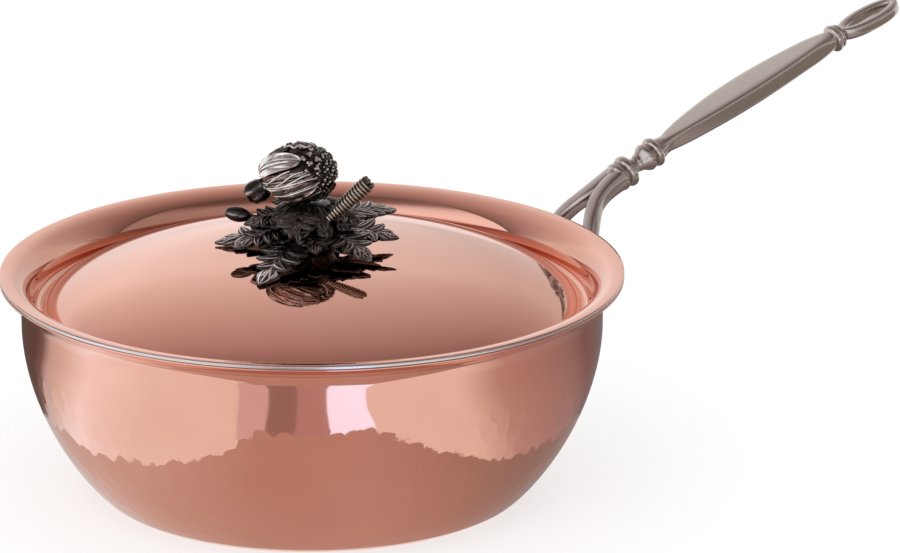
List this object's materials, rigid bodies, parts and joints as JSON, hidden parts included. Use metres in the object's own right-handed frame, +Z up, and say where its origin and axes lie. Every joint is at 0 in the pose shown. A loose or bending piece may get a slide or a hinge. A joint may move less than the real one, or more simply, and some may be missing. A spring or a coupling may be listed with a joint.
{
  "type": "saute pan with lid",
  "caption": "Deep round copper pan with a flared rim, a long cast handle with a forked root and a hanging loop, and a nested domed lid that lifts off by a vegetable-and-leaf finial.",
  "frame": {"origin": "centre of the pan's flat base, on its underside", "axes": "+Z up along the bowl's axis; +X along the handle, away from the bowl"},
  "size_m": [0.4721, 0.28, 0.1761],
  "materials": {
    "hammered_copper": null,
    "polished_copper": null,
    "tin_lining": "pale satin cooking lining",
    "cast_handle": "warm grey satin cast metal",
    "antiqued_silver": null,
    "fixing_steel": "plain satin steel"
  },
  "bodies": {
    "pan": {"pan_shell": "hammered_copper", "pan_lining": "tin_lining", "handle": "cast_handle", "handle_rivet_1": "cast_handle", "handle_rivet_2": "cast_handle", "handle_rivet_3": "cast_handle", "handle_rivet_4": "cast_handle"},
    "lid": {"lid_shell": "polished_copper", "lid_lining": "tin_lining", "finial_boss": "antiqued_silver", "leaf_left": "antiqued_silver", "leaf_left_front": "antiqued_silver", "leaf_front": "antiqued_silver", "leaf_front_small": "antiqued_silver", "leaf_right_front": "antiqued_silver", "leaf_right": "antiqued_silver", "leaf_back_right": "antiqued_silver", "leaf_back": "antiqued_silver", "leaf_back_left": "antiqued_silver", "leaf_upper_left": "antiqued_silver", "leaf_upper_front": "antiqued_silver", "leaf_upper_right": "antiqued_silver", "leaf_upper_back": "antiqued_silver", "leaf_upper_back_left": "antiqued_silver", "vegetable_globe": "antiqued_silver", "ribbed_root": "antiqued_silver", "side_pod": "antiqued_silver", "side_bud": "antiqued_silver", "finial_stud": "fixing_steel", "finial_washer": "fixing_steel", "finial_nut": "fixing_steel"}
  },
  "joints": [
    {"name": "lid_lift", "type": "slide", "parent": "pan", "child": "lid", "axis": [0, 0, 1], "range_m": [0, 0.15]}
  ]
}
